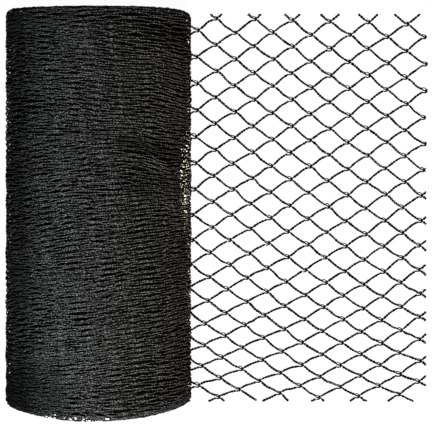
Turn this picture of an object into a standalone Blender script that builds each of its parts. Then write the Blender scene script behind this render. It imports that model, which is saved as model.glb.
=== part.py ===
"""Bird netting: a wound roll of black knotted twine net, with its free end drawn out flat.

Metres, +Z up. The roll lies on its side along Y. The origin is the middle of the flat spot that it
rests on. The free end leaves the roll at the floor and lies flat towards +X.
"""
import math

import bmesh
import bpy
import numpy as np

MM = 0.001

# The roll
ROLL_RADIUS = 77.0 * MM
ROLL_SIDES = 48              # facets round the roll
FLAT_SAG = 1.5 * MM          # how far the roll's own weight flattens its underside
FAR_END_Y = 169.5 * MM       # middle of the end at +Y, nearly flat
NEAR_END_Y = -171.5 * MM     # middle of the end at -Y, which bulges
FAR_CROWN = 1.0 * MM         # height of each end's bulge
NEAR_CROWN = 10.0 * MM
CORNER_RADIUS = 5.0 * MM     # rounding between an end and the side
FAR_BOW = -2.0 * MM          # how far each end stands out along its upper and lower rim
NEAR_BOW = 9.0 * MM
BOW_START_Y = 158.0 * MM     # the bow is full from here outwards
BOW_FADE = 18.0 * MM         # and dies away inwards over about this length
FAR_SLUMP = 2.5 * MM         # how far each end draws in towards its +X edge
NEAR_SLUMP = 4.0 * MM
SLUMP_POWER_ALONG = 8
SLUMP_POWER_ACROSS = 6
GROOVE = 0.7 * MM            # depth of the trough where two wraps meet

# The wraps of gathered net, from the +Y end. Each row starts at the wrap's +Y edge: where it starts,
# how its strands lean (rising towards +X is positive), and how far its middle stands proud.
WRAP_COLUMNS = ("edge_y_mm", "lean_deg", "crest_mm")
WRAPS = (
    (157, 0.0, 0.2),
    (145, -3.0, 0.8),
    (127, -3.5, 0.4),
    (109, -3.0, 0.9),
    (90, -5.0, 0.5),
    (71, -2.0, 0.9),
    (52, -1.0, 0.2),
    (40, 0.0, 0.9),
    (20, 1.5, 0.6),
    (5, 5.0, 0.2),
    (-15, 6.5, 0.9),
    (-37, 5.5, 0.4),
    (-57, 6.0, 0.9),
    (-79, 6.5, 0.5),
    (-100, 7.0, 0.9),
    (-121, 6.0, 0.4),
    (-139, 4.0, 0.8),
    (-153, 0.0, 0.0),
)

# The free end of the net, a lattice of diamond meshes whose knots lie in staggered rows
NET_THICKNESS = 1.6 * MM
STRAND_WIDTH = 1.8 * MM
SEAT_GAP = 0.3 * MM          # clearance between the roll and the net that runs out from under it
FAR_CUT_Y = 172.0 * MM       # the net's three cut edges
NEAR_CUT_Y = -164.5 * MM
OUTER_CUT_X = 281.0 * MM
FIRST_COLUMN = -9            # knots outside the cut edges are left out
LAST_COLUMN = 8
LAST_ROW = 31
ROWS_TO_NEAR_EDGE = 30       # rows over which the meshes change shape
MIDDLE_X = 164.1 * MM        # column 0 in the first row
COLUMN_PITCH = 16.54 * MM    # half a mesh along X
COLUMN_SPREAD = 0.05         # how much wider the meshes are pulled at the near edge
COLUMN_DRIFT = 11.8 * MM     # how far the columns wander towards the roll
FIRST_ROW_Y = 167.2 * MM
ROW_PITCH = 11.62 * MM       # half a mesh along Y
ROW_CLOSING = 20.7 * MM      # how far the near rows close up
ROW_FALL = 0.48 * MM         # drop of the far rows from one column to the next
ROW_BOW = 10.6 * MM          # rise of the near rows, from their lowest column to their highest
BOW_COLUMN = 3               # the near rows' lowest column
BOW_COLUMNS = 8              # columns from there to the highest
UNEVENNESS = 0.6 * MM
KNOT_CLEARANCE = 1.5 * MM    # a knot nearer than this to a cut edge is left out
SHORTEST_STUB = 2.6 * MM

STEP_ANGLE = 2 * math.pi / ROLL_SIDES
AXIS_Z = ROLL_RADIUS - FLAT_SAG


def clear_scene():
    for scene_object in list(bpy.data.objects):
        bpy.data.objects.remove(scene_object, do_unlink=True)


def make_collection(name):
    collection = bpy.data.collections.new(name)
    bpy.context.scene.collection.children.link(collection)
    return collection


def make_material(name, colour, roughness):
    material = bpy.data.materials.new(name)
    material.use_nodes = True
    shader = material.node_tree.nodes["Principled BSDF"]
    shader.inputs["Base Color"].default_value = (*colour, 1.0)
    shader.inputs["Roughness"].default_value = roughness
    shader.inputs["Metallic"].default_value = 0.0
    return material


def add_object(name, mesh, collection):
    new_object = bpy.data.objects.new(name, mesh)
    collection.objects.link(new_object)
    return new_object


def wrap_column(name):
    at = WRAP_COLUMNS.index(name)
    return [row[at] for row in WRAPS]


def wrap_stations():
    """Where the profile has its rings along the side, and the relief there: a trough, then a crest."""
    edges = [edge * MM for edge in wrap_column("edge_y_mm")]
    crests = [crest * MM for crest in wrap_column("crest_mm")]
    stations = [(edges[0], 0.0)]
    for edge, next_edge, crest in zip(edges, edges[1:], crests):
        stations.append(((edge + next_edge) / 2, crest))
        stations.append((next_edge, -GROOVE))
    stations[-1] = (edges[-1], 0.0)
    return stations


STATIONS = wrap_stations()


def relief_at(y):
    places = [-place for place, _ in STATIONS]
    return float(np.interp(-y, places, [relief for _, relief in STATIONS]))


def lean_at(y):
    places = [-edge * MM for edge in wrap_column("edge_y_mm")]
    return math.radians(float(np.interp(-y, places, wrap_column("lean_deg"))))


def end_outline(end_y, crown):
    """The turned outline of one end, from the axis to the side: a shallow bulge and a round corner."""
    outward = math.copysign(1.0, end_y)
    rim_radius = ROLL_RADIUS - CORNER_RADIUS
    outline = []
    for share in (0.0, 0.45, 0.8):
        outline.append((rim_radius * share, end_y - outward * crown * share ** 2))
    corner_y = end_y - outward * (crown + CORNER_RADIUS)
    for angle in (math.radians(degrees) for degrees in (90, 55, 22, 0)):
        along = CORNER_RADIUS * math.sin(angle)
        across = CORNER_RADIUS * math.cos(angle)
        outline.append((rim_radius + across, corner_y + outward * along))
    return outline


def roll_outline():
    far = end_outline(FAR_END_Y, FAR_CROWN)
    side = [(ROLL_RADIUS, y) for y, _ in STATIONS]
    near = end_outline(NEAR_END_Y, NEAR_CROWN)
    return far + side + near[::-1]


def turn_outline(name, outline, collection):
    """Turn an outline of (radius, y) points round the Y axis into a closed mesh object."""
    mesh = bpy.data.meshes.new(name + "_outline")
    points = [(radius, y, 0.0) for radius, y in outline]
    edges = [(index, index + 1) for index in range(len(points) - 1)]
    mesh.from_pydata(points, edges, [])
    outline_object = add_object(name + "_outline", mesh, collection)
    screw = outline_object.modifiers.new("Turn", "SCREW")
    screw.axis = "Y"
    screw.steps = ROLL_SIDES
    screw.render_steps = ROLL_SIDES
    screw.use_merge_vertices = True
    screw.merge_threshold = 0.00001
    depsgraph = bpy.context.evaluated_depsgraph_get()
    turned = bpy.data.meshes.new_from_object(outline_object.evaluated_get(depsgraph))
    turned.name = name
    bpy.data.objects.remove(outline_object, do_unlink=True)
    return add_object(name, turned, collection)


def end_shift(x, y, above_axis):
    """How far out a point near an end moves, as that end bows and slumps."""
    bow, slump = (FAR_BOW, FAR_SLUMP) if y > 0 else (NEAR_BOW, NEAR_SLUMP)
    fade = min(1.0, math.exp((abs(y) - BOW_START_Y) / BOW_FADE))
    shift = bow * fade * (above_axis / ROLL_RADIUS) ** 2
    if x > 0:
        along = abs(y / NEAR_END_Y) ** SLUMP_POWER_ALONG
        shift -= slump * along * (x / ROLL_RADIUS) ** SLUMP_POWER_ACROSS
    return shift


def laid_point(point):
    """Where a point of the turned roll lies: wrapped, leaning, bowed and flattened on the floor."""
    radius = math.hypot(point.x, point.z)
    turn = math.atan2(point.x, point.z) + STEP_ANGLE / 2
    share_from_floor = (1 + math.cos(turn)) / 2
    radius += relief_at(point.y) * share_from_floor
    x = radius * math.sin(turn)
    above_axis = radius * math.cos(turn)
    y = point.y + math.tan(lean_at(point.y)) * x
    outward = math.copysign(1.0, point.y)
    y += outward * end_shift(x, point.y, above_axis)
    return x, y, max(AXIS_Z + above_axis, 0.0)


def make_roll(collection):
    roll = turn_outline("net_roll", roll_outline(), collection)
    shape = bmesh.new()
    shape.from_mesh(roll.data)
    for vertex in shape.verts:
        vertex.co = laid_point(vertex.co)
    bmesh.ops.recalc_face_normals(shape, faces=shape.faces)
    shape.to_mesh(roll.data)
    shape.free()
    roll.data.shade_smooth()
    roll.data.materials.append(make_material("net_roll", (0.020, 0.020, 0.020), 0.75))
    return roll


def inner_edge_x():
    """Where the net's upper face comes within the seat gap of the roll's round underside."""
    return math.sqrt((ROLL_RADIUS + SEAT_GAP) ** 2 - (AXIS_Z - NET_THICKNESS) ** 2)


def knot_place(column, row):
    down = row / ROWS_TO_NEAR_EDGE
    x = MIDDLE_X + COLUMN_PITCH * column * (1 + COLUMN_SPREAD * down ** 3)
    x -= COLUMN_DRIFT * down ** 2
    x += UNEVENNESS * math.sin(2.3 * column + 1.1 * row)
    y = FIRST_ROW_Y - ROW_PITCH * row + ROW_CLOSING * down ** 4
    y -= ROW_FALL * column * (1 - down ** 2)
    y += ROW_BOW * down ** 2 * (1 - math.cos(math.pi * (column - BOW_COLUMN) / BOW_COLUMNS)) / 2
    y += UNEVENNESS * math.sin(1.7 * column - 2.9 * row)
    return np.array((x, y))


def clear_of_cuts(place):
    x, y = place
    inside_x = inner_edge_x() + KNOT_CLEARANCE < x < OUTER_CUT_X - KNOT_CLEARANCE
    return inside_x and NEAR_CUT_Y + KNOT_CLEARANCE < y < FAR_CUT_Y - KNOT_CLEARANCE


def length_to_cut(place, heading):
    """How far a strand runs from a knot before it meets a cut edge."""
    limit_x = OUTER_CUT_X if heading[0] > 0 else inner_edge_x()
    limit_y = FAR_CUT_Y if heading[1] > 0 else NEAR_CUT_Y
    return min((limit_x - place[0]) / heading[0], (limit_y - place[1]) / heading[1])


def net_outline():
    """The flat lattice: a face for each knot and each strand between two knots or up to a cut edge."""
    lattice = bmesh.new()
    # The four ways out of a knot, anticlockwise, as steps of column and row
    ways = ((1, -1), (-1, -1), (-1, 1), (1, 1))
    knots = {}
    for row in range(LAST_ROW + 1):
        for column in range(FIRST_COLUMN, LAST_COLUMN + 1):
            place = knot_place(column, row)
            if (column + row) % 2 == 0 and clear_of_cuts(place):
                knots[column, row] = place

    headings = {}
    corners = {}
    for (column, row), place in knots.items():
        unit = []
        for across, down in ways:
            step = knot_place(column + across, row + down) - place
            unit.append(step / np.hypot(*step))
        headings[column, row] = unit
        points = []
        for first, second in zip(unit, unit[1:] + unit[:1]):
            between = abs(first[0] * second[1] - first[1] * second[0])
            corner = place + (first + second) * STRAND_WIDTH / 2 / between
            points.append(lattice.verts.new((*corner, 0.0)))
        corners[column, row] = points
        lattice.faces.new(points)

    for (column, row), place in knots.items():
        for way, (across, down) in enumerate(ways):
            left = corners[column, row][way]
            right = corners[column, row][way - 1]
            neighbour = column + across, row + down
            if neighbour not in knots:
                heading = headings[column, row][way]
                run = length_to_cut(place, heading)
                if run > SHORTEST_STUB:
                    tip = place + heading * run
                    side = np.array((-heading[1], heading[0])) * STRAND_WIDTH / 2
                    tip_left = lattice.verts.new((*(tip + side), 0.0))
                    tip_right = lattice.verts.new((*(tip - side), 0.0))
                    lattice.faces.new((left, right, tip_right, tip_left))
            elif across > 0:
                # The neighbour sees this strand the other way round
                facing = (way + 2) % 4
                far_left = corners[neighbour][facing - 1]
                far_right = corners[neighbour][facing]
                lattice.faces.new((left, right, far_right, far_left))
    return lattice


def make_free_end(collection):
    lattice = net_outline()
    bmesh.ops.recalc_face_normals(lattice, faces=lattice.faces)
    if lattice.faces[0].normal.z < 0:
        bmesh.ops.reverse_faces(lattice, faces=lattice.faces)
    mesh = bpy.data.meshes.new("net_free_end")
    lattice.to_mesh(mesh)
    lattice.free()
    free_end = add_object("net_free_end", mesh, collection)
    thicken = free_end.modifiers.new("Thickness", "SOLIDIFY")
    thicken.thickness = NET_THICKNESS
    thicken.offset = 1.0
    mesh.materials.append(make_material("net_free_end", (0.018, 0.018, 0.018), 0.7))
    return free_end


def main():
    clear_scene()
    collection = make_collection("bird_netting")
    make_roll(collection)
    make_free_end(collection)


main()
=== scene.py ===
import math

import bpy
import numpy as np
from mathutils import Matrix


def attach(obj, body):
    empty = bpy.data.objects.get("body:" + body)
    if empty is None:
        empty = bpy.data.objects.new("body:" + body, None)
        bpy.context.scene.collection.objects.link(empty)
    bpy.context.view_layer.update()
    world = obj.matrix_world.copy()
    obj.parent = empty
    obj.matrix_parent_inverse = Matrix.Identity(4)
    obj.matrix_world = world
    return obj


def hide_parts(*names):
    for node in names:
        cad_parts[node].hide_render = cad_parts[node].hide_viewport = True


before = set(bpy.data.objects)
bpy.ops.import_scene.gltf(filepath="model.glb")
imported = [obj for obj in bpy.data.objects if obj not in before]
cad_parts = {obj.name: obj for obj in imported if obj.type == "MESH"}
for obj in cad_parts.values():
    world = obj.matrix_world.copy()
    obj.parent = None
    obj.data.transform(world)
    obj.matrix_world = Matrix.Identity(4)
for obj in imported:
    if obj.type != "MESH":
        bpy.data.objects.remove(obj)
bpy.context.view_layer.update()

MM = 0.001
TINY = 1e-12                 # keeps a division clear of zero
STRAND_MAP = "strand"        # the map of distance along a strand, in metres, and turn round it

# The roll
ROLL_RADIUS = 77.0 * MM
FLAT_SAG = 1.5 * MM          # how far the roll's own weight flattens its underside
FAR_END_Y = 169.5 * MM       # middle of the end at +Y, nearly flat
NEAR_END_Y = -171.5 * MM     # middle of the end at -Y, which bulges
FAR_CROWN = 1.0 * MM
NEAR_CROWN = 10.0 * MM
CORNER_RADIUS = 5.0 * MM
FAR_BOW = -2.0 * MM          # how far each end stands out along its upper and lower rim
NEAR_BOW = 9.0 * MM
BOW_START_Y = 158.0 * MM
BOW_FADE = 18.0 * MM
FAR_SLUMP = 2.5 * MM         # how far each end draws in towards its +X edge
NEAR_SLUMP = 4.0 * MM
SLUMP_POWER_ALONG = 8
SLUMP_POWER_ACROSS = 6
GROOVE = 0.7 * MM            # depth of the trough where two wraps meet
AXIS_Z = ROLL_RADIUS - FLAT_SAG
END_REACH = 0.98             # the share of an end's radius that its crown takes up
END_STATIONS = 30
CORNER_STATIONS = 12
OUTLINE_ROWS = 1200
RIM_SHARE = 0.995            # of the radius: where the strands of side and ends meet

# The wraps of gathered net, from the +Y end: where each starts, how its strands lean (rising
# towards +X is positive), and how far its middle stands proud.
WRAP_COLUMNS = ("edge_y_mm", "lean_deg", "crest_mm")
WRAPS = (
    (157, 0.0, 0.2),
    (145, -3.0, 0.8),
    (127, -3.5, 0.4),
    (109, -3.0, 0.9),
    (90, -5.0, 0.5),
    (71, -2.0, 0.9),
    (52, -1.0, 0.2),
    (40, 0.0, 0.9),
    (20, 1.5, 0.6),
    (5, 5.0, 0.2),
    (-15, 6.5, 0.9),
    (-37, 5.5, 0.4),
    (-57, 6.0, 0.9),
    (-79, 6.5, 0.5),
    (-100, 7.0, 0.9),
    (-121, 6.0, 0.4),
    (-139, 4.0, 0.8),
    (-153, 0.0, 0.0),
)

# The gathered strands of the roll, in layers from the outside in. Strands run round the roll in
# zigzags that meet at knots, as the closed meshes of a stretched net do.
BAR_LENGTH = 19.9 * MM       # one strand from knot to knot
LAYER_COLUMNS = ("depth_mm", "line_pitch_mm", "twine_radius_mm", "sides", "sway_mm", "seed")
LAYERS = (
    (0.4, 2.22, 0.50, 4, 0.0, 11),
    (1.2, 2.25, 0.54, 4, 5.0, 23),
    (2.3, 2.30, 0.60, 3, -6.0, 37),
)
END_LAYERS = 2               # how many of the layers also cover the ends
SIDE_STAND = 0.7 * MM        # how far the strands stand out along the roll's two sides
SIDE_POWER = 8               # how closely that keeps to the sides
SIDE_CALM = 0.75             # the share of their unevenness that the strands lose there

# A bar from knot to knot, finer in the outer layer: where its stations lie, how far each has crossed
# over, and how thick it is
FINEST_DEPTH = 1             # in millimetres: a layer that lies deeper has plain bars
FINE_BAR = (
    (0.0, 0.06, 0.17, 0.30, 0.43, 0.57, 0.70, 0.83, 0.94),
    (0.0, 0.02, 0.12, 0.28, 0.43, 0.57, 0.72, 0.88, 0.98),
    (1.5, 1.25, 0.96, 0.93, 0.93, 0.93, 0.93, 0.96, 1.25),
)
PLAIN_BAR = (
    (0.0, 0.12, 0.37, 0.63, 0.88),
    (0.0, 0.09, 0.36, 0.64, 0.91),
    (1.5, 1.05, 0.94, 0.94, 1.05),
)

# How the strands stray from even zigzags. They are calmer towards the net's side of the roll and
# looser towards the other side. A pair of lengths is the shortest and the longest wave.
LINE_ADVANCE = 0.0045        # from one strand's knots to the next one's, in radians
ZIGZAG_SHARE = 0.86          # the share of its room that a zigzag takes up,
CALM_CUT = 0.45              # and the share of that which it loses where it is calm
CALM_SLOPE = 1.4
CALM_START = 0.4
LOOSE_START = 0.15
LOOSE_SLOPE = 1.2
TWINE_ROOM = 0.75            # of a twine's radius: kept free between a knot and the next strand
OWN_WAVES = 7                # how many waves make up what a strand does on its own
JITTER = 0.06 * MM           # a strand as a whole, out of its line
WANDER = 0.16 * MM           # each strand on its own, slowly
WANDER_LENGTHS = (25 * MM, 70 * MM)
SHIVER = 0.16 * MM           # and quickly, more where it is loose
SHIVER_LENGTHS = (5 * MM, 12 * MM)
SHIVER_GAIN = 0.8
BEND = 1.0 * MM              # all strands together, slowly, except close to the rims
RIM_FADE = 20 * MM
BUNCH = 0.10 * MM            # in bunches, less where they are loose
BUNCH_CUT = 0.5
WAVE = 0.18 * MM             # and in short waves
SLIDE = 0.035                # of knots round the roll, in radians
SHARED_LIFT = 0.10           # off the roll, in millimetres: neighbours together
OWN_LIFT = 0.24              # and each strand on its own
LIFT_LENGTHS = (6 * MM, 15 * MM)
LEAST_DEPTH = 0.1 * MM
END_MARGIN = 0.3 * MM        # between a strand and the middle of an end
END_HOLE = 3 * MM            # from the middle of an end to its first strand

# The fields that neighbouring strands stray by together: bend, bunch, wave, lift and slide
FIELD_COLUMNS = ("shortest_mm", "longest_mm", "tilt", "count")
FIELDS = (
    (45, 130, 1.3, 26),
    (6, 16, 4.0, 40),
    (5, 11, 1.4, 40),
    (5, 24, 2.5, 40),
    (25, 70, 1.0, 26),
)

# The core under the strands
CORE_DEPTH = 3.2 * MM
CORE_SIDES = 72
CORE_STATIONS = 130
CORE_BUMP = 0.4 * MM
CORE_FIELD = (5, 9 * MM, 30 * MM, 2.0, 26)   # seed, shortest and longest wave, tilt, count
CORE_LOWEST = 1.2 * MM

# Where the strands part and the depths show: the middle of each parting, how far round it reaches,
# how wide it opens, and how it slants (rising towards +X is positive)
PARTING_COLUMNS = ("turn_deg", "y_mm", "half_turn_deg", "opening_mm", "slant_deg")
PARTINGS = (
    (66, 150, 20, 1.5, -14),
    (50, 139, 22, 0.9, -8),
    (38, 47, 20, 1.2, -10),
    (58, 39, 16, 1.4, -14),
    (30, 36, 16, 0.9, -6),
    (-66, 0, 12, 1.4, 14),
    (-60, -12, 12, 1.3, -24),
    (28, -50, 18, 0.9, 6),
    (10, 92, 18, 0.8, -2),
    (45, -82, 22, 0.9, 9),
    (-20, -118, 18, 0.8, 4),
    (55, -105, 18, 1.1, 10),
)
PARTING_POWER = 4            # how sharply a parting ends round the roll
PARTING_LIP = 0.5 * MM       # about this far from its middle the strands are pushed the most,
PARTING_FADE = 7 * MM        # and beyond this hardly at all
DEEPEST_PARTED = 2           # in millimetres: a layer that lies deeper doesn't part

# Where the strands run aslant for a while: the middle of the place, how far it reaches each way, and
# the slant (rising towards +X is positive)
SLANT_COLUMNS = ("x_mm", "y_mm", "half_x_mm", "half_y_mm", "slant_deg")
SLANTS = (
    (48, 46, 38, 22, -12),
)
UPPER_SLOPE = 3              # how quickly the slant sets in from the roll's sides upwards

# The free end: a lattice of diamond meshes whose knots lie in staggered rows
FAR_CUT_Y = 172.0 * MM
NEAR_CUT_Y = -164.5 * MM
OUTER_CUT_X = 281.0 * MM
INNER_EDGE_X = 22.7 * MM
FIRST_COLUMN = -9
LAST_COLUMN = 8
LAST_ROW = 31
ROWS_TO_NEAR_EDGE = 30
EDGE_COLUMN = 5              # columns beyond this one are drawn in from the outer cut,
EDGE_DRAW = 1.3 * MM         # each by this much more than the last,
EDGE_ROW = 17                # most at this row
EDGE_ROWS = 5.5              # and over this many rows each way
MIDDLE_X = 165.0 * MM
COLUMN_PITCH = 16.54 * MM
COLUMN_SPREAD = 0.05
COLUMN_DRIFT = 11.8 * MM
FIRST_ROW_Y = 166.8 * MM
ROW_PITCH = 11.62 * MM
ROW_CLOSING = 20.7 * MM
ROW_FALL = 0.48 * MM
ROW_BOW = 10.6 * MM
BOW_COLUMN = 3
BOW_COLUMNS = 8
UNEVENNESS = 0.6 * MM
UNEVEN_X = (2.3, 1.1)        # how fast it changes along a row and a column
UNEVEN_Y = (1.7, -2.9)
KNOT_CLEARANCE = 1.5 * MM
CUT_THROUGH = 1.0 * MM       # a knot this far past the outer cut still holds
SHORTEST_STUB = 1.5 * MM
LAST_STEP = 1e-9             # keeps a smooth path within its last cell
STUB_SHARE = 0.8             # a cut strand stops short of where its lost knot was

# Its twine: two plies twisted together, tightly or loosely, and more loosely in the falling bars
PLY_RADIUS = 0.66 * MM
PLY_OFFSET = 0.42 * MM
LOOSE_PLY_RADIUS = 0.57 * MM
LOOSE_PLY_OFFSET = 0.76 * MM
TWIST_PITCH = 5.0 * MM
TWINE_HEIGHT = 1.0 * MM
BAR_GIRTH = ((0.0, 0.08, 0.20, 0.9, 1.0), (0.75, 1.15, 1.0, 0.95, 0.85))
GIRTH_SPREAD = (0.74, 1.26)
PLY_SIDES = 4
BAR_STATIONS = 16
LEAVE_DEG = 8                # how far a bar turns away from its straight line where it leaves a knot,
ARRIVE_DEG = 7               # and where it arrives at the next,
BEND_SPREAD_DEG = 4          # more or less,
STUB_DEG = 6                 # and where a cut bar arrives
BAR_WANDER = 0.25 * MM
BAR_RISE = 0.25 * MM         # how far the middle of a bar may lift off the floor
WANDER_PHASE = 6
TWIST_PHASE = 6.3
LOOSENESS_POWER = 1.5
RISING_LOOSENESS = 0.35      # the looseness of a rising bar, as a share of a falling bar's
NET_SEED = 71

# A knot seen from above, in millimetres: the bight that the two strands from the left make, the turn
# of twine that stands open over it, the body, and the roots of the two strands to the right. Each is
# a radius, a count of sides and stations, and points (x, y, z).
KNOT_PARTS = (
    (0.62, 4, 11, (
        (-2.9, 1.35, 0.7), (-1.9, 0.55, 0.7), (-0.6, 0.15, 0.8), (0.6, -0.2, 1.0), (0.9, -0.9, 1.0),
        (0.1, -1.5, 0.8), (-1.3, -1.55, 0.7), (-2.9, -1.35, 0.7),
    )),
    (0.42, 4, 8, (
        (-3.0, 1.6, 0.8), (-2.2, 2.35, 1.0), (-1.1, 2.3, 1.3), (0.0, 1.5, 1.7), (0.6, 0.3, 1.9),
    )),
    (0.93, 6, 5, ((0.1, 1.3, 1.2), (0.75, 0.6, 1.5), (0.7, -0.4, 1.5), (0.1, -1.3, 1.2))),
    (0.55, 4, 4, ((0.5, 0.0, 0.9), (1.2, 0.7, 0.7), (2.3, 1.3, 0.7))),
    (0.55, 4, 4, ((0.5, 0.2, 0.9), (1.2, -0.6, 0.7), (2.3, -1.4, 0.7))),
)
OPEN_TURN = 1                # which of these parts stands more open in one knot than in the next
ROOT_PARTS = (3, 4)          # and which a knot at the outer cut has lost
BAR_START = (2.1, 1.25)      # from a knot to the start of a bar that leaves it to the right, in mm
BAR_END = (-2.9, 1.35)       # and to the end of one that arrives from the left
KNOT_TURN_DEG = 5
KNOT_SIZE_SPREAD = 0.06
KNOT_OPENNESS = (0.65, 1.05)
KNOT_FACING = (0.02, 0.01, 1.0)   # nearly up, and along none of a knot's strands


# ---------------- meshes

def corner_rings(points, facing, radii, sides, closed):
    """The corners round each point of paths shaped (paths, stations, 3)."""
    if closed:
        ahead = np.roll(points, -1, axis=1) - np.roll(points, 1, axis=1)
    else:
        ahead = np.gradient(points, axis=1)
    ahead /= np.linalg.norm(ahead, axis=2, keepdims=True) + TINY
    side = np.cross(ahead, facing)
    side /= np.linalg.norm(side, axis=2, keepdims=True) + TINY
    up = np.cross(side, ahead)
    angle = 2 * np.pi * (np.arange(sides) + (0.5 if closed else 0.0)) / sides
    spoke = side[:, :, None] * np.cos(angle)[:, None] + up[:, :, None] * np.sin(angle)[:, None]
    return points[:, :, None] + spoke * radii[:, :, None, None]


def reach_along(points, closed):
    """The distance along each path at its stations, and at the closing station of a closed one."""
    if closed:
        points = np.concatenate([points, points[:, :1]], axis=1)
    steps = np.linalg.norm(np.diff(points, axis=1), axis=2)
    return np.concatenate([np.zeros((len(points), 1)), np.cumsum(steps, axis=1)], axis=1)


def tube_faces(points, sides, closed, first):
    """Quads of tubes whose corners are numbered (path, station, side), and the caps of open ones.
    Each comes with its corners' places on the strand map: distance along, and turn round."""
    paths, stations, _ = points.shape
    number = first + np.arange(paths * stations * sides).reshape(paths, stations, sides)
    if closed:
        number = np.concatenate([number, number[:, :1]], axis=1)
    beside = np.roll(number, -1, axis=2)
    quads = np.stack([number[:, :-1], beside[:, :-1], beside[:, 1:], number[:, 1:]], axis=-1)
    reach = np.broadcast_to(reach_along(points, closed)[:, :, None], number.shape)
    turn = np.broadcast_to(np.arange(sides) / sides, number.shape)
    after = turn + 1 / sides
    along = np.stack([reach[:, :-1], reach[:, :-1], reach[:, 1:], reach[:, 1:]], axis=-1)
    round_it = np.stack([turn[:, :-1], after[:, :-1], after[:, 1:], turn[:, 1:]], axis=-1)
    face_sets = [(quads.reshape(-1, 4), np.stack([along, round_it], axis=-1).reshape(-1, 4, 2))]
    if not closed:
        caps = np.concatenate([number[:, 0, ::-1], number[:, -1]])
        places = np.stack([reach[:, (0, -1)], turn[:, (0, -1)]], axis=-1)
        places = np.concatenate([places[:, 0, ::-1], places[:, 1]])
        face_sets.append((caps, places))
    return face_sets


def make_piece(name, points, face_sets, material):
    """An object from an (n, 3) array of points and pairs of faces and their strand map, one pair for
    each face size."""
    mesh = bpy.data.meshes.new(name)
    mesh.vertices.add(len(points))
    mesh.vertices.foreach_set("co", points.astype(np.float32).ravel())
    sizes = np.concatenate([np.full(len(faces), faces.shape[1]) for faces, _ in face_sets])
    corners = np.concatenate([faces.ravel() for faces, _ in face_sets])
    mesh.loops.add(len(corners))
    mesh.loops.foreach_set("vertex_index", corners.astype(np.int32))
    mesh.polygons.add(len(sizes))
    starts = np.concatenate([[0], np.cumsum(sizes)[:-1]])
    mesh.polygons.foreach_set("loop_start", starts.astype(np.int32))
    mesh.polygons.foreach_set("use_smooth", np.full(len(sizes), True))
    mesh.update(calc_edges=True)
    strand_map = mesh.uv_layers.new(name=STRAND_MAP, do_init=False)
    places = np.concatenate([place.ravel() for _, place in face_sets])
    strand_map.uv.foreach_set("vector", places.astype(np.float32))
    mesh.materials.append(material)
    piece = bpy.data.objects.new(name, mesh)
    bpy.context.scene.collection.objects.link(piece)
    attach(piece, "root")
    return piece


def joined_tubes(name, groups, material):
    """One piece from groups of tubes: (points, facing, radii, sides, closed)."""
    all_points = []
    by_size = {}
    first = 0
    for points, facing, radii, sides, closed in groups:
        rings = corner_rings(points, facing, radii, sides, closed)
        for faces, places in tube_faces(points, sides, closed, first):
            by_size.setdefault(faces.shape[1], []).append((faces, places))
        all_points.append(rings.reshape(-1, 3))
        first += rings.size // 3
    face_sets = []
    for size in sorted(by_size):
        faces, places = zip(*by_size[size])
        face_sets.append((np.concatenate(faces), np.concatenate(places)))
    return make_piece(name, np.concatenate(all_points), face_sets, material)


# ---------------- the roll's form

def wrap_column(name):
    at = WRAP_COLUMNS.index(name)
    return [row[at] for row in WRAPS]


def wrap_stations():
    edges = [edge * MM for edge in wrap_column("edge_y_mm")]
    crests = [crest * MM for crest in wrap_column("crest_mm")]
    stations = [(edges[0], 0.0)]
    for edge, next_edge, crest in zip(edges, edges[1:], crests):
        stations.append(((edge + next_edge) / 2, crest))
        stations.append((next_edge, -GROOVE))
    stations[-1] = (edges[-1], 0.0)
    return np.array(stations)


STATIONS = wrap_stations()


def relief_at(y):
    return np.interp(-y, -STATIONS[:, 0], STATIONS[:, 1])


def lean_at(y):
    places = [-edge * MM for edge in wrap_column("edge_y_mm")]
    return np.radians(np.interp(-y, places, wrap_column("lean_deg")))


def end_outline(end_y, crown):
    outward = math.copysign(1.0, end_y)
    rim_radius = ROLL_RADIUS - CORNER_RADIUS
    outline = []
    for share in np.linspace(0.0, END_REACH, END_STATIONS):
        outline.append((rim_radius * share, end_y - outward * crown * share ** 2))
    corner_y = end_y - outward * (crown + CORNER_RADIUS)
    for angle in np.radians(np.linspace(90, 0, CORNER_STATIONS)):
        along = CORNER_RADIUS * math.sin(angle)
        across = CORNER_RADIUS * math.cos(angle)
        outline.append((rim_radius + across, corner_y + outward * along))
    return outline


def full_outline():
    """The turned outline from the middle of the far end to the middle of the near end, with the
    distance along it and its outward direction: columns run, radius, y, out_radius, out_y."""
    outline = end_outline(FAR_END_Y, FAR_CROWN) + end_outline(NEAR_END_Y, NEAR_CROWN)[::-1]
    outline = np.array(outline)
    steps = np.hypot(*np.diff(outline, axis=0).T)
    run = np.concatenate([[0.0], np.cumsum(steps)])
    even = np.linspace(0.0, run[-1], OUTLINE_ROWS)
    radius = np.interp(even, run, outline[:, 0])
    y = np.interp(even, run, outline[:, 1])
    slope_radius = np.gradient(radius, even)
    slope_y = np.gradient(y, even)
    return np.stack([even, radius, y, -slope_y, slope_radius], axis=1)


OUTLINE = full_outline()
RUN_END = OUTLINE[-1, 0]
RIM_RADIUS = RIM_SHARE * ROLL_RADIUS
FAR_HALF = OUTLINE[:OUTLINE_ROWS // 2]
NEAR_HALF = OUTLINE[:OUTLINE_ROWS // 2:-1]
FAR_RIM_RUN = float(np.interp(RIM_RADIUS, FAR_HALF[:, 1], FAR_HALF[:, 0]))
NEAR_RIM_RUN = RUN_END - float(np.interp(RIM_RADIUS, NEAR_HALF[:, 1], RUN_END - NEAR_HALF[:, 0]))


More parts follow.
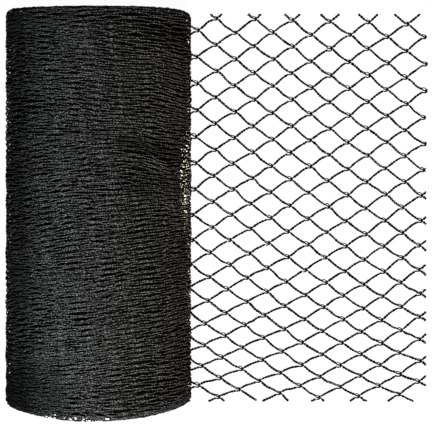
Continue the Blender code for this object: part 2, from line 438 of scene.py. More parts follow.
def roll_point(turn, run, depth):
    """Where a place of the wound roll lies, depth below its surface, by the CAD source's rules."""
    radius, y, out_radius, out_y = (np.interp(run, OUTLINE[:, 0], OUTLINE[:, at]) for at in range(1, 5))
    radius = np.maximum(radius - depth * out_radius, 0.0)
    y = y - depth * out_y
    radius = radius + relief_at(y) * (1 + np.cos(turn)) / 2
    x = radius * np.sin(turn)
    above_axis = radius * np.cos(turn)
    far = y > 0
    fade = np.minimum(1.0, np.exp((np.abs(y) - BOW_START_Y) / BOW_FADE))
    shift = np.where(far, FAR_BOW, NEAR_BOW) * fade * (above_axis / ROLL_RADIUS) ** 2
    along = np.abs(y / NEAR_END_Y) ** SLUMP_POWER_ALONG
    across = (np.maximum(x, 0.0) / ROLL_RADIUS) ** SLUMP_POWER_ACROSS
    shift = shift - np.where(far, FAR_SLUMP, NEAR_SLUMP) * along * across
    laid_y = y + np.tan(lean_at(y)) * x + np.where(far, shift, -shift)
    return np.stack([x, laid_y, AXIS_Z + above_axis], axis=-1)


def top_arc():
    """The distance along the top of the roll, which the bulge stretches, at each row of OUTLINE."""
    points = roll_point(np.zeros(len(OUTLINE)), OUTLINE[:, 0], 0.0)
    steps = np.linalg.norm(np.diff(points, axis=0), axis=1)
    return np.concatenate([[0.0], np.cumsum(steps)])


TOP_ARC = top_arc()
STRETCH = np.gradient(TOP_ARC, OUTLINE[:, 0] + TINY * np.arange(len(OUTLINE)))


def ripples(seed, shortest, longest, tilt, count):
    """A smooth random field over (turn, run) that closes round the roll, of unit deviation. A tilt
    over 1 stretches its waves round the roll."""
    draw = np.random.default_rng(seed)
    length = np.exp(draw.uniform(math.log(shortest), math.log(longest), count))
    angle = draw.uniform(0, np.pi, count)
    phase = draw.uniform(0, 2 * np.pi, count)
    around = np.round(2 * np.pi * ROLL_RADIUS * np.cos(angle) / length / tilt)
    along = 2 * np.pi * np.sin(angle) / length

    def field(turn, run):
        total = np.zeros(np.broadcast(turn, run).shape)
        for wave in range(count):
            total += np.cos(around[wave] * turn + along[wave] * run + phase[wave])
        return total * math.sqrt(2 / count)

    return field


def own_waves(draw, turn, shortest, longest):
    """A random wave along each strand that differs from its neighbours', of unit deviation."""
    around = 2 * math.pi * ROLL_RADIUS
    shape = (OWN_WAVES, len(turn), 1)
    rounds = draw.integers(round(around / longest), round(around / shortest), shape)
    phases = draw.uniform(0, 2 * np.pi, shape)
    return np.cos(rounds * turn + phases).sum(axis=0) * math.sqrt(2 / OWN_WAVES)


def part_strands(turn, run):
    """How far the strands beside each parting are pushed aside."""
    y = np.interp(run, OUTLINE[:, 0], OUTLINE[:, 2])
    push = np.zeros(run.shape)
    for row in PARTINGS:
        parting = dict(zip(PARTING_COLUMNS, row))
        off = turn - math.radians(parting["turn_deg"])
        off = np.arctan2(np.sin(off), np.cos(off))
        middle_y = parting["y_mm"] * MM + math.tan(math.radians(parting["slant_deg"])) * ROLL_RADIUS * off
        away = middle_y - y
        reach = np.exp(-(off / math.radians(parting["half_turn_deg"])) ** PARTING_POWER)
        spread = np.tanh(away / PARTING_LIP) * np.exp(-(away / PARTING_FADE) ** 2)
        push += parting["opening_mm"] * MM / 2 * reach * spread
    return push


def slant_strands(turn, run):
    """How far the strands are shifted where they run aslant on the roll's upper side."""
    y = np.interp(run, OUTLINE[:, 0], OUTLINE[:, 2])
    upper = np.clip(UPPER_SLOPE * np.cos(turn), 0.0, 1.0)
    shift = np.zeros(run.shape)
    for row in SLANTS:
        slant = dict(zip(SLANT_COLUMNS, row))
        across = ROLL_RADIUS * np.sin(turn) - slant["x_mm"] * MM
        along = y - slant["y_mm"] * MM
        share_x = across / (slant["half_x_mm"] * MM)
        share_y = along / (slant["half_y_mm"] * MM)
        reach = np.exp(-share_x ** 2 - share_y ** 2)
        shift -= math.tan(math.radians(slant["slant_deg"])) * across * upper * reach
    return shift


def zigzags(first_line, lines, bars, bar_shape):
    """The turn of each station of zigzag strands, and how far across it lies, from -1 to 1."""
    stations, crossing, _ = np.array(bar_shape)
    line = first_line + np.arange(lines)[:, None, None]
    bar = np.arange(bars)[None, :, None]
    at_knot = np.where((line + bar) % 2 == 0, 1.0, -1.0)
    across = (at_knot * (1 - 2 * crossing)).reshape(lines, -1)
    turn = np.broadcast_to(2 * np.pi * (bar + stations) / bars, (lines, bars, len(stations)))
    turn = turn.reshape(lines, -1) + LINE_ADVANCE * line[:, :, 0]
    calm = np.clip(CALM_SLOPE * np.sin(turn) - CALM_START, 0.0, 1.0)
    return turn, ZIGZAG_SHARE * across * (1 - CALM_CUT * calm)


def stray(turn, run, layer, fields, draw):
    """The strands' runs along the outline once they have bent, bunched, slanted and parted."""
    bend, bunch, wave = fields[:3]
    loose = np.clip(LOOSE_START - LOOSE_SLOPE * np.sin(turn), 0.0, 1.0)
    near_rim = np.minimum(1.0, np.minimum(run, RUN_END - run) / RIM_FADE)
    sway = layer["sway_mm"] * MM * np.sin(turn + layer["seed"])
    run = run + near_rim * (sway + BEND * bend(turn, run))
    run = run + BUNCH * (1 - BUNCH_CUT * loose) * bunch(turn, run)
    run = run + WAVE * wave(turn, run)
    run = run + slant_strands(turn, run)
    if layer["depth_mm"] < DEEPEST_PARTED:
        run = run + part_strands(turn, run)
    return run + SHIVER * (1 + SHIVER_GAIN * loose) * own_waves(draw, turn, *SHIVER_LENGTHS)


def strand_depths(turn, run, depth, lift, draw):
    at_side = np.abs(np.sin(turn)) ** SIDE_POWER
    unevenness = SHARED_LIFT * lift(turn, run) + OWN_LIFT * own_waves(draw, turn, *LIFT_LENGTHS)
    depths = depth - SIDE_STAND * at_side + MM * (1 - SIDE_CALM * at_side) * unevenness
    return np.maximum(depths, LEAST_DEPTH - SIDE_STAND * at_side)


def strand_ring(first_line, runs, bars, layer, fields):
    """Zigzag strands round the roll, one for each entry of runs, all with the same count of bars."""
    pitch = layer["line_pitch_mm"] * MM
    twine = layer["twine_radius_mm"] * MM
    bar_shape = FINE_BAR if layer["depth_mm"] < FINEST_DEPTH else PLAIN_BAR
    turn, across = zigzags(first_line, len(runs), bars, bar_shape)
    draw = np.random.default_rng(layer["seed"] + first_line)
    jitter = JITTER * draw.normal(size=(len(runs), 1))
    jitter = jitter + WANDER * own_waves(draw, turn, *WANDER_LENGTHS)
    stretch = np.interp(runs, OUTLINE[:, 0], STRETCH)[:, None]
    run = runs[:, None] + (jitter + across * (pitch / 2 - TWINE_ROOM * twine)) / stretch
    run = stray(turn, run, layer, fields, draw)
    lift, slide = fields[3:]
    depths = strand_depths(turn, run, layer["depth_mm"] * MM, lift, draw)
    turn = turn + SLIDE * slide(turn, run)
    run = np.clip(run, END_MARGIN, RUN_END - END_MARGIN)
    points = roll_point(turn, run, depths)
    facing = points - roll_point(turn, run, depths + MM)
    points[..., 2] = np.maximum(points[..., 2], twine)
    girth = np.tile(bar_shape[2], bars)[None, :] * np.ones((len(runs), 1)) * twine
    return points, facing, girth, layer["sides"], True


def layer_fields(seed):
    fields = []
    for step, row in enumerate(FIELDS, start=1):
        field = dict(zip(FIELD_COLUMNS, row))
        shortest, longest = field["shortest_mm"] * MM, field["longest_mm"] * MM
        fields.append(ripples(seed + step, shortest, longest, field["tilt"], field["count"]))
    return fields


def bars_round(run):
    """An even count of bars that fits round the roll at this place of its outline."""
    radius = float(np.interp(run, OUTLINE[:, 0], OUTLINE[:, 1]))
    return max(4, 2 * round(math.pi * radius / BAR_LENGTH))


def strand_groups(layer, first_run, last_run):
    pitch = layer["line_pitch_mm"] * MM
    fields = layer_fields(layer["seed"])
    first_arc, last_arc = np.interp((first_run, last_run), OUTLINE[:, 0], TOP_ARC)
    runs = np.interp(np.arange(first_arc, last_arc, pitch), TOP_ARC, OUTLINE[:, 0])
    counts = np.array([bars_round(run) for run in runs])
    first_line = round((first_run - END_HOLE) / pitch)
    groups = []
    start = 0
    while start < len(runs):
        stop = start
        while stop < len(runs) and counts[stop] == counts[start]:
            stop += 1
        groups.append(strand_ring(first_line + start, runs[start:stop], counts[start], layer, fields))
        start = stop
    return groups


def make_core(material):
    """The dark mass of net under the strands that show, darkened with painted shade."""
    turns = 2 * np.pi * np.arange(CORE_SIDES) / CORE_SIDES
    runs = np.linspace(0.0, RUN_END, CORE_STATIONS)
    bumps = ripples(*CORE_FIELD)
    turn, run = np.meshgrid(turns, runs[1:-1])
    points = roll_point(turn, run, CORE_DEPTH + CORE_BUMP * bumps(turn, run))
    rows, columns = turn.shape
    points[..., 2] = np.maximum(points[..., 2], CORE_LOWEST)
    number = np.arange(rows * columns).reshape(rows, columns)
    beside = np.roll(number, -1, axis=1)
    sides = np.stack([number[:-1], number[1:], beside[1:], beside[:-1]], axis=-1).reshape(-1, 4)
    far_middle = roll_point(0.0, 0.0, CORE_DEPTH)
    near_middle = roll_point(0.0, RUN_END, CORE_DEPTH)
    all_points = np.concatenate([points.reshape(-1, 3), far_middle[None], near_middle[None]])
    far_cap = np.stack([number[0], beside[0], np.full(columns, rows * columns)], axis=-1)
    near_cap = np.stack([beside[-1], number[-1], np.full(columns, rows * columns + 1)], axis=-1)
    caps = np.concatenate([far_cap, near_cap])
    face_sets = [(faces, np.zeros((*faces.shape, 2))) for faces in (caps, sides)]
    return make_piece("roll_core", all_points, face_sets, material)


def make_roll(twines, depths):
    """The wound roll: its dark core, and the layers of strands on its side and ends."""
    pieces = [make_core(depths)]
    middle_run = (FAR_RIM_RUN + NEAR_RIM_RUN) / 2
    for number, (row, twine) in enumerate(zip(LAYERS, twines), start=1):
        layer = dict(zip(LAYER_COLUMNS, row))
        spans = [("side", FAR_RIM_RUN, NEAR_RIM_RUN)]
        if number == 1:
            spans = [("far_side", FAR_RIM_RUN, middle_run), ("near_side", middle_run, NEAR_RIM_RUN)]
        for span, first_run, last_run in spans:
            groups = strand_groups(layer, first_run, last_run)
            pieces.append(joined_tubes(f"roll_{span}_{number}", groups, twine))
        if number <= END_LAYERS:
            groups = strand_groups(layer, END_HOLE, FAR_RIM_RUN)
            groups += strand_groups(layer, NEAR_RIM_RUN, RUN_END - END_HOLE)
            pieces.append(joined_tubes(f"roll_ends_{number}", groups, twine))
    for piece in pieces:
        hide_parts("net_roll")


# ---------------- the free end

def knot_place(column, row):
    down = row / ROWS_TO_NEAR_EDGE
    x = MIDDLE_X + COLUMN_PITCH * column * (1 + COLUMN_SPREAD * down ** 3)
    x -= COLUMN_DRIFT * down ** 2
    x += UNEVENNESS * math.sin(UNEVEN_X[0] * column + UNEVEN_X[1] * row)
    x -= EDGE_DRAW * max(column - EDGE_COLUMN, 0) * math.exp(-((row - EDGE_ROW) / EDGE_ROWS) ** 2)
    y = FIRST_ROW_Y - ROW_PITCH * row + ROW_CLOSING * down ** 4
    y -= ROW_FALL * column * (1 - down ** 2)
    y += ROW_BOW * down ** 2 * (1 - math.cos(math.pi * (column - BOW_COLUMN) / BOW_COLUMNS)) / 2
    y += UNEVENNESS * math.sin(UNEVEN_Y[0] * column + UNEVEN_Y[1] * row)
    return np.array((x, y))


def net_knots():
    knots = {}
    for row in range(LAST_ROW + 1):
        for column in range(FIRST_COLUMN, LAST_COLUMN + 1):
            x, y = knot_place(column, row)
            inside_x = INNER_EDGE_X + KNOT_CLEARANCE < x < OUTER_CUT_X + CUT_THROUGH
            inside_y = NEAR_CUT_Y + KNOT_CLEARANCE < y < FAR_CUT_Y - KNOT_CLEARANCE
            if (column + row) % 2 == 0 and inside_x and inside_y:
                knots[column, row] = np.array((x, y))
    return knots


def unit(angle):
    return np.array((math.cos(angle), math.sin(angle)))


def stub_length(place, heading, chord):
    """How far a cut strand runs: to the edge of the net, or most of the way to its lost knot."""
    limit_x = OUTER_CUT_X if heading[0] > 0 else INNER_EDGE_X
    limit_y = FAR_CUT_Y if heading[1] > 0 else NEAR_CUT_Y
    to_edge = min((limit_x - place[0]) / heading[0], (limit_y - place[1]) / heading[1])
    return min(to_edge, STUB_SHARE * np.hypot(*chord))


def net_bars(knots, draw):
    """Each bar as (start, start direction, end, end direction, does it fall), in the plane."""
    bars = []
    for (column, row), place in knots.items():
        for rise in (1, -1):
            # The bar that leaves this knot to the right, steeply
            following = knot_place(column + 1, row - rise)
            chord = following - place
            angle = math.atan2(chord[1], chord[0])
            leave = angle + rise * math.radians(LEAVE_DEG + draw.normal() * BEND_SPREAD_DEG)
            arrive = angle - rise * math.radians(ARRIVE_DEG + draw.normal() * BEND_SPREAD_DEG)
            start = place + np.array((1.0, rise)) * BAR_START * MM
            if (column + 1, row - rise) in knots:
                end = following + np.array((1.0, -rise)) * BAR_END * MM
                reach = np.hypot(*(end - start))
                bars.append((start, unit(leave) * reach, end, unit(arrive) * reach, rise < 0))
            else:
                run = stub_length(start, unit(leave), chord)
                if run > SHORTEST_STUB:
                    end = start + unit(leave) * run
                    bars.append((start, unit(leave) * run, end, unit(leave) * run, rise < 0))
            # A bar that arrives from the left, where the cut has taken its knot
            if (column - 1, row + rise) not in knots:
                chord = place - knot_place(column - 1, row + rise)
                angle = math.atan2(chord[1], chord[0]) + rise * math.radians(STUB_DEG)
                end = place + np.array((1.0, -rise)) * BAR_END * MM
                run = stub_length(end, -unit(angle), chord)
                if run > SHORTEST_STUB:
                    start = end - unit(angle) * run
                    bars.append((start, unit(angle) * run, end, unit(angle) * run, rise < 0))
    return bars


def smooth_path(corners, count):
    """A smooth path through the corners, by Catmull-Rom."""
    corners = np.array(corners)
    padded = np.concatenate([2 * corners[:1] - corners[1:2], corners, 2 * corners[-1:] - corners[-2:-1]])
    at = np.linspace(0, len(corners) - 1 - LAST_STEP, count)
    cell = at.astype(int)
    t = (at - cell)[:, None]
    p0, p1, p2, p3 = (padded[cell + shift] for shift in range(4))
    return 0.5 * (2 * p1 + (p2 - p0) * t + (2 * p0 - 5 * p1 + 4 * p2 - p3) * t ** 2
                  + (3 * p1 - p0 - 3 * p2 + p3) * t ** 3)


def bar_paths(bars, stations, draw):
    """The middle line of each bar, lying on the floor between its two knots."""
    t = np.linspace(0, 1, stations)[None, :, None]
    start, leave, end, arrive = (np.array([bar[at] for bar in bars])[:, None, :] for at in range(4))
    flat = ((2 * t ** 3 - 3 * t ** 2 + 1) * start + (t ** 3 - 2 * t ** 2 + t) * leave
            + (3 * t ** 2 - 2 * t ** 3) * end + (t ** 3 - t ** 2) * arrive)
    middle = np.sin(np.pi * t[..., 0])
    wander = draw.normal(size=(len(bars), 1)) * BAR_WANDER * middle
    phase = draw.uniform(0, WANDER_PHASE, (len(bars), 1))
    flat[..., 1] += wander * np.sin(2 * np.pi * t[..., 0] + phase)
    height = TWINE_HEIGHT + BAR_RISE * middle * draw.uniform(0, 1, (len(bars), 1))
    return np.concatenate([flat, height[..., None]], axis=2)


def ply_paths(middle, looseness, draw):
    """Two plies that turn round each bar's middle line, further apart where it is loose."""
    ahead = np.gradient(middle, axis=1)
    ahead /= np.linalg.norm(ahead, axis=2, keepdims=True)
    reach = reach_along(middle, False)
    side = np.stack([-ahead[..., 1], ahead[..., 0], np.zeros_like(reach)], axis=2)
    angle = 2 * np.pi * reach / TWIST_PITCH + draw.uniform(0, TWIST_PHASE, (len(middle), 1))
    offset = PLY_OFFSET + (LOOSE_PLY_OFFSET - PLY_OFFSET) * looseness[:, :, None]
    radius = PLY_RADIUS + (LOOSE_PLY_RADIUS - PLY_RADIUS) * looseness
    girth = radius * np.interp(reach / reach[:, -1:], *BAR_GIRTH) * draw.uniform(*GIRTH_SPREAD, reach.shape)
    groups = []
    up = np.array((0.0, 0.0, 1.0))
    for turn in (0.0, np.pi):
        cosine, sine = np.cos(angle + turn)[..., None], np.sin(angle + turn)[..., None]
        points = middle + offset * (side * cosine + up * sine)
        points[..., 2] = np.maximum(points[..., 2], radius)
        facing = np.broadcast_to(up, points.shape)
        groups.append((points, facing, girth, PLY_SIDES, False))
    return groups


def bar_groups(bars, draw):
    groups = []
    for falling in (False, True):
        chosen = [bar for bar in bars if bar[-1] == falling]
        share = 1.0 if falling else RISING_LOOSENESS
        looseness = draw.uniform(0, 1, (len(chosen), 1)) ** LOOSENESS_POWER * share
        groups += ply_paths(bar_paths(chosen, BAR_STATIONS, draw), looseness, draw)
    return groups


def knot_groups(knots, draw):
    places = np.array(list(knots.values()))
    turns = draw.normal(size=len(places)) * math.radians(KNOT_TURN_DEG)
    sizes = 1 + draw.normal(size=len(places)) * KNOT_SIZE_SPREAD
    openness = draw.uniform(*KNOT_OPENNESS, (len(places), 1))
    whole = places[:, 0] < OUTER_CUT_X - KNOT_CLEARANCE
    cosine, sine = (np.cos(turns) * sizes)[:, None], (np.sin(turns) * sizes)[:, None]
    groups = []
    for part, (radius, sides, count, corners) in enumerate(KNOT_PARTS):
        path = smooth_path(corners, count) * MM
        across = path[:, 1] * (openness if part == OPEN_TURN else 1.0)
        x = places[:, :1] + path[:, 0] * cosine - across * sine
        y = places[:, 1:] + path[:, 0] * sine + across * cosine
        z = np.broadcast_to(path[:, 2], x.shape)
        points = np.stack([x, y, z], axis=2)
        facing = np.broadcast_to(np.array(KNOT_FACING), points.shape)
        girth = np.full(points.shape[:2], radius * MM)
        kept = whole if part in ROOT_PARTS else np.full(len(places), True)
        groups.append((points[kept], facing[kept], girth[kept], sides, False))
    return groups


def make_free_end(material):
    draw = np.random.default_rng(NET_SEED)
    knots = net_knots()
    bars = net_bars(knots, draw)
    groups = bar_groups(bars, draw)
    groups += knot_groups(knots, draw)
    piece = joined_tubes("net_laid_out", groups, material)
    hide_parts("net_free_end")


# ---------------- materials

# Where pale flecks of painted highlight, glints, lie on the roll: the middle of each patch and its half
# sizes, all in millimetres, how sparse the flecks are, and their colour
GLINT_COLUMNS = ("middle", "half", "from", "colour")
GLINTS = (
    ((72, -3, 102), (6, 20, 14), 0.685, (0.18, 0.15, 0.105)),
    ((73, 32, 99), (8, 38, 21), 0.69, (0.78, 0.70, 0.54)),
    ((-10, -168.5, 152), (34, 3.4, 8), 0.69, (0.60, 0.60, 0.57)),
    ((-38, -166, 143), (20, 3.6, 9), 0.68, (0.60, 0.60, 0.57)),
    ((-77, 78, 83), (4, 34, 8), 0.66, (0.46, 0.46, 0.44)),
    ((-77, -82, 83), (4, 42, 8), 0.66, (0.46, 0.46, 0.44)),
)

# The twines: their darkest and lightest grey, the length of one turn, and how sharply the groove between
# the plies darkens with painted shade. The under and deep twines are darker copies of the outer one:
# painted shade for the layers that lie deeper in the roll
OUTER_TWINE = ("roll_twine", 0.002, 0.053, 4.6 * MM, 0.85)
UNDER_TWINE = ("roll_twine_under", 0.001, 0.05, 4.6 * MM, 1.4)
DEEP_TWINE = ("roll_twine_deep", 0.0005, 0.01, 4.6 * MM, 1.4)
NET_TWINE = ("net_twine", 0.0006, 0.004, TWIST_PITCH, 0.4)
TWINE_ROUGHNESS = 0.5
TWINE_BUMP = 0.0003
FIBRE_RELIEF = 0.4           # how high the fibres stand, as a share of the plies
RAMP_PLACES = (0.04, 0.5)    # where the darkest and the lightest grey are reached
# The greys of the core under the strands, darker than the twine's: painted shade
CORE_GREYS = (0.0003, 0.0015)
CORE_BUMP_HEIGHT = 0.001
BUMP_STRENGTH = 0.6
DULL_ROUGHNESS = 0.9
MATT_IOR = 1.0               # no gloss at all

# Noises: each a scale and a detail
CORE_NOISE = (300.0, 2.0)
FIBRE_NOISE = (1400.0, 2.0)
SPECKLE_NOISE = (650.0, 1.0)
TWIST_NOISE = (230.0, 1.0)   # makes the turns of the plies uneven,
TWIST_WANDER = 8.0           # by this many radians
PATCH_NOISE = (60.0, 1.0)
FLECK_NOISE = (480.0, 1.0)

# Ranges: each a low and a high value, and what they become
GLINT_FADE = (0.5, 1.1, 1.0, 0.0)        # across a patch of flecks, in half sizes
GLINT_REACH = (0.0, 0.3, 0.0, 1.0)
PATCHINESS = (0.4, 0.6, 0.45, 1.0)
FLECK_SHARE = 0.18           # how much denser the flecks are in the middle of a patch
FLECK_EDGE = 0.07            # how softly a fleck ends
SHADOW_FADE = (0.2, 1.6)
SPECKLE_RANGE = (0.42, 0.58, 0.0, 1.0)

# Speckle in the twine: how it is drawn out, and how dark it goes along an axis
SPECKLE_STRETCH = (1.0, 1.5, 1.0)
SPECKLE_LOW = ("X", -0.02, 0.05, 0.34, 0.24)

# Places of painted shade, where the twine is darker (at the roll's -X side, a little towards +X, and
# towards both ends): an axis, where the darkening starts and ends, and what share is left
PAINTED_SHADE_PLACES = (
    ("X", -0.043, -0.060, 0.52),
    ("X", -0.02, 0.06, 0.95),
    ("Y", -0.12, -0.18, 0.78),
    ("Y", 0.14, 0.16, 0.8),
)
# The same painted shade for the layer under, much darker towards +X
UNDER_PAINTED_SHADE_PLACES = (
    ("X", -0.043, -0.060, 0.52),
    ("X", -0.03, 0.04, 0.2),
)

# Painted shadows: slanted ovals where the strands sink and look darker: x, y, half_x, half_y in
# millimetres, the slant, and the share of brightness left
SHADOWS = (
    (46, 51, 26, 8, -0.25, 0.45),
    (48, 22, 28, 13, 0.0, 0.62),
    (62, 143, 20, 7, -0.1, 0.6),
    (-50, -150, 34, 26, 0.0, 0.62),
    (10, 60, 30, 10, -0.2, 0.85),
)
# A tint of painted light across the roll, cool at -X and warm at +X
COOL_TINT = (0.955, 1.02, 1.02, 1.0)
WARM_TINT = (1.025, 1.0, 0.945, 1.0)
TINT_RANGE = (-0.035, 0.07, 0.0, 1.0)    # along X, from cool to warm


def new_material(name, roughness):
    material = bpy.data.materials.new(name)
    material.use_nodes = True
    shader = material.node_tree.nodes["Principled BSDF"]
    shader.inputs["Roughness"].default_value = roughness
    return material, material.node_tree, shader


def feed(tree, socket, value):
    """Link a socket to another node's output, or set it to a plain value."""
    if isinstance(value, bpy.types.NodeSocket):
        tree.links.new(value, socket)
    else:
        socket.default_value = value


def add_math(tree, operation, *operands):
    node = tree.nodes.new("ShaderNodeMath")
    node.operation = operation
    for socket, operand in zip(node.inputs, operands):
        feed(tree, socket, operand)
    return node.outputs[0]


def add_vector_math(tree, operation, *operands):
    node = tree.nodes.new("ShaderNodeVectorMath")
    node.operation = operation
    for socket, operand in zip(node.inputs, operands):
        feed(tree, socket, operand)
    return node.outputs["Value" if operation == "LENGTH" else "Vector"]


def add_noise(tree, vector, scale, detail):
    noise = tree.nodes.new("ShaderNodeTexNoise")
    noise.inputs["Scale"].default_value = scale
    noise.inputs["Detail"].default_value = detail
    tree.links.new(vector, noise.inputs["Vector"])
    return noise.outputs["Fac"]


def add_range(tree, value, low, high, to_low, to_high):
    node = tree.nodes.new("ShaderNodeMapRange")
    settings = (("From Min", low), ("From Max", high), ("To Min", to_low), ("To Max", to_high))
    for socket, setting in settings:
        node.inputs[socket].default_value = setting
    tree.links.new(value, node.inputs["Value"])
    return node.outputs["Result"]


def add_parts(tree, vector):
    parts = tree.nodes.new("ShaderNodeSeparateXYZ")
    tree.links.new(vector, parts.inputs["Vector"])
    return parts.outputs


def add_mix(tree, factor, first, second, blend_type="MIX"):
    mix = tree.nodes.new("ShaderNodeMix")
    mix.data_type = "RGBA"
    mix.blend_type = blend_type
    feed(tree, mix.inputs["Factor"], factor)
    feed(tree, mix.inputs["A"], first)
    feed(tree, mix.inputs["B"], second)
    return mix.outputs["Result"]


def add_grey_ramp(tree, value, places, greys):
    ramp = tree.nodes.new("ShaderNodeValToRGB")
    for element, place, grey in zip(ramp.color_ramp.elements, places, greys):
        element.position = place
        element.color = (grey, grey, grey, 1.0)
    tree.links.new(value, ramp.inputs["Fac"])
    return ramp.outputs["Color"]


def add_bump(tree, shader, height, distance):
    bump = tree.nodes.new("ShaderNodeBump")
    bump.inputs["Strength"].default_value = BUMP_STRENGTH
    bump.inputs["Distance"].default_value = distance
    tree.links.new(height, bump.inputs["Height"])
    tree.links.new(bump.outputs["Normal"], shader.inputs["Normal"])


def add_glints(tree, colour, place, spot):
    """Lay pale flecks of painted highlight over the colour in an oval patch that thins out towards its
    edge.
    """
    middle = [value * MM for value in spot["middle"]]
    half = [value * MM for value in spot["half"]]
    away = add_vector_math(tree, "DIVIDE", add_vector_math(tree, "SUBTRACT", place, middle), half)
    share = add_range(tree, add_vector_math(tree, "LENGTH", away), *GLINT_FADE)
    patchy = add_range(tree, add_noise(tree, place, *PATCH_NOISE), *PATCHINESS)
    share = add_math(tree, "MULTIPLY", share, patchy)
    flecks = add_noise(tree, place, *FLECK_NOISE)
    flecks = add_math(tree, "ADD", flecks, add_math(tree, "MULTIPLY", share, FLECK_SHARE))
    flecks = add_range(tree, flecks, spot["from"], spot["from"] + FLECK_EDGE, 0.0, 1.0)
    factor = add_math(tree, "MULTIPLY", add_range(tree, share, *GLINT_REACH), flecks)
    return add_mix(tree, factor, colour, (*spot["colour"], 1.0))


def shadow_at(tree, parts, middle_x, middle_y, half_x, half_y, slant, left):
    """The share of brightness left in a slanted oval of painted shadow where the strands sink, in
    millimetres.
    """
    x = add_math(tree, "SUBTRACT", parts["X"], middle_x * MM)
    y = add_math(tree, "SUBTRACT", parts["Y"], middle_y * MM)
    y = add_math(tree, "SUBTRACT", y, add_math(tree, "MULTIPLY", x, slant))
    x = add_math(tree, "POWER", add_math(tree, "DIVIDE", x, half_x * MM), 2.0)
    y = add_math(tree, "POWER", add_math(tree, "DIVIDE", y, half_y * MM), 2.0)
    return add_range(tree, add_math(tree, "ADD", x, y), *SHADOW_FADE, left, 1.0)


def add_tint(tree, colour, x):
    """Multiply a colour by a painted light tint that turns from cool at -X to warm at +X."""
    tint = add_mix(tree, add_range(tree, x, *TINT_RANGE), COOL_TINT, WARM_TINT)
    return add_mix(tree, 1.0, colour, tint, "MULTIPLY")


def ply_height(tree, place, pitch):
    """How high the twine's surface stands, from 0 in the groove between its plies to 1."""
    strand = tree.nodes.new("ShaderNodeUVMap")
    strand.uv_map = STRAND_MAP
    strand = add_parts(tree, strand.outputs["UV"])
    along = add_math(tree, "MULTIPLY", strand["X"], 2 * math.pi / pitch)
    around = add_math(tree, "MULTIPLY", strand["Y"], math.pi)
    wander = add_math(tree, "MULTIPLY", add_noise(tree, place, *TWIST_NOISE), TWIST_WANDER)
    angle = add_math(tree, "ADD", add_math(tree, "ADD", along, around), wander)
    return add_math(tree, "ABSOLUTE", add_math(tree, "SINE", angle))


def speckle_share(tree, place, parts):
    """Speckle that is drawn out along the strands, from dark to 1."""
    drawn_out = add_vector_math(tree, "MULTIPLY", place, SPECKLE_STRETCH)
    speckle = add_noise(tree, drawn_out, *SPECKLE_NOISE)
    axis, *span = SPECKLE_LOW
    lowest = add_range(tree, parts[axis], *span)
    return add_math(tree, "MAXIMUM", add_range(tree, speckle, *SPECKLE_RANGE), lowest)


def twine_material(name, dark, light, pitch, groove, painted_shade_places=(), shadows=(), glints=()):
    """Matt black twisted twine: two plies with painted shade in the groove between, fibres, painted shade
    in places, and pale flecks of painted highlight.
    """
    material, tree, shader = new_material(name, TWINE_ROUGHNESS)
    shader.inputs["IOR"].default_value = MATT_IOR
    place = tree.nodes.new("ShaderNodeTexCoord").outputs["Object"]
    parts = add_parts(tree, place)
    ply = ply_height(tree, place, pitch)
    fibres = add_noise(tree, place, *FIBRE_NOISE)
    shade = add_math(tree, "MULTIPLY", fibres, speckle_share(tree, place, parts))
    # Painted shade: darker in the listed places
    for axis, full, darkest_at, share in painted_shade_places:
        painted_shade = add_range(tree, parts[axis], full, darkest_at, 1.0, share)
        shade = add_math(tree, "MULTIPLY", shade, painted_shade)
    # Painted shadows
    for spot in shadows:
        shade = add_math(tree, "MULTIPLY", shade, shadow_at(tree, parts, *spot))
    # Painted shade in the groove between the plies
    shade = add_math(tree, "MULTIPLY", shade, add_math(tree, "POWER", ply, groove))
    colour = add_grey_ramp(tree, shade, RAMP_PLACES, (dark, light))
    # Painted light tint
    colour = add_tint(tree, colour, parts["X"])
    # Pale flecks of painted highlight
    for row in glints:
        colour = add_glints(tree, colour, place, dict(zip(GLINT_COLUMNS, row)))
    tree.links.new(colour, shader.inputs["Base Color"])
    relief = add_math(tree, "ADD", ply, add_math(tree, "MULTIPLY", fibres, FIBRE_RELIEF))
    add_bump(tree, shader, relief, TWINE_BUMP)
    return material


def core_material(name):
    """The net's deeper turns, hardly lit: painted shade, with greys darker than any twine's."""
    material, tree, shader = new_material(name, DULL_ROUGHNESS)
    shader.inputs["IOR"].default_value = MATT_IOR
    place = tree.nodes.new("ShaderNodeTexCoord").outputs["Object"]
    grain = add_noise(tree, place, *CORE_NOISE)
    colour = add_grey_ramp(tree, grain, (0.0, 1.0), CORE_GREYS)
    tree.links.new(colour, shader.inputs["Base Color"])
    add_bump(tree, shader, grain, CORE_BUMP_HEIGHT)
    return material


# ---------------- stage, light and camera

FLOOR_HALF = 14.0
FLOOR_Z = -0.3 * MM          # just under the net, so that the two don't share a plane
FLOOR_GREY = 0.03
FLOOR_GLOW = 0.955           # lights the floor to the plain white
WORLD_STRENGTH = 0.2
LIGHTS = (                   # name, place, aim, size, power, colour
    ("key", (0.02, -0.58, 0.88), (0.03, -0.02, 0.1), 0.4, 60.0, (0.97, 1.0, 0.97)),
    ("side", (0.9, 0.05, 0.45), (0.07, 0.02, 0.08), 0.4, 6.0, (1.0, 0.84, 0.6)),
)
CAMERA_PLACE = (0.0984, 0.0, 2.0755)     # straight above, near the middle of the whole
CAMERA_LENS = 198.8                      # in millimetres, as is the sensor's width
SENSOR_WIDTH = 36.0
VIEW_END = 50.0
WHITE = (1.0, 1.0, 1.0, 1.0)


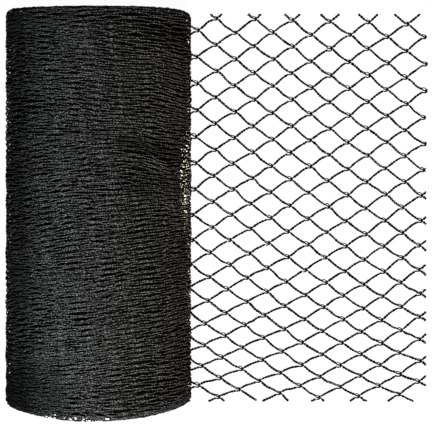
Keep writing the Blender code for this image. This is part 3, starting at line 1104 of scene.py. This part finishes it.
def make_floor():
    mesh = bpy.data.meshes.new("floor")
    corners = [(x * FLOOR_HALF, y * FLOOR_HALF, FLOOR_Z) for x, y in ((-1, -1), (1, -1), (1, 1), (-1, 1))]
    mesh.from_pydata(corners, [], [(0, 1, 2, 3)])
    material, _, shader = new_material("floor", DULL_ROUGHNESS)
    shader.inputs["Base Color"].default_value = (FLOOR_GREY, FLOOR_GREY, FLOOR_GREY, 1.0)
    shader.inputs["Specular IOR Level"].default_value = 0.0
    shader.inputs["Emission Color"].default_value = WHITE
    shader.inputs["Emission Strength"].default_value = FLOOR_GLOW
    mesh.materials.append(material)
    floor = bpy.data.objects.new("floor", mesh)
    bpy.context.scene.collection.objects.link(floor)


def make_light(name, place, aim, size, power, colour):
    data = bpy.data.lights.new(name, "AREA")
    data.shape = "DISK"
    data.size = size
    data.energy = power
    data.color = colour
    light = bpy.data.objects.new(name, data)
    light.location = place
    ahead = np.array(aim) - np.array(place)
    tilt = math.atan2(np.hypot(ahead[0], ahead[1]), -ahead[2])
    light.rotation_euler = (tilt, 0.0, math.atan2(-ahead[0], ahead[1]))
    bpy.context.scene.collection.objects.link(light)


def make_world():
    world = bpy.data.worlds.new("studio")
    world.use_nodes = True
    background = world.node_tree.nodes["Background"]
    background.inputs["Color"].default_value = WHITE
    background.inputs["Strength"].default_value = WORLD_STRENGTH
    bpy.context.scene.world = world


def make_camera():
    data = bpy.data.cameras.new("camera")
    data.lens = CAMERA_LENS
    data.sensor_width = SENSOR_WIDTH
    data.clip_end = VIEW_END
    camera = bpy.data.objects.new("camera", data)
    camera.location = CAMERA_PLACE
    bpy.context.scene.collection.objects.link(camera)
    bpy.context.scene.camera = camera


def main():
    outer = twine_material(*OUTER_TWINE, PAINTED_SHADE_PLACES, SHADOWS, GLINTS)
    # The layers under the outer one take darker copies of its twine: painted shade
    under = twine_material(*UNDER_TWINE, UNDER_PAINTED_SHADE_PLACES, SHADOWS)
    deep = twine_material(*DEEP_TWINE)
    net_twine = twine_material(*NET_TWINE)
    make_roll((outer, under, deep), core_material("roll_depths"))
    make_free_end(net_twine)
    make_floor()
    make_world()
    for light in LIGHTS:
        make_light(*light)
    make_camera()
    bpy.context.scene.view_settings.view_transform = "Standard"


main()
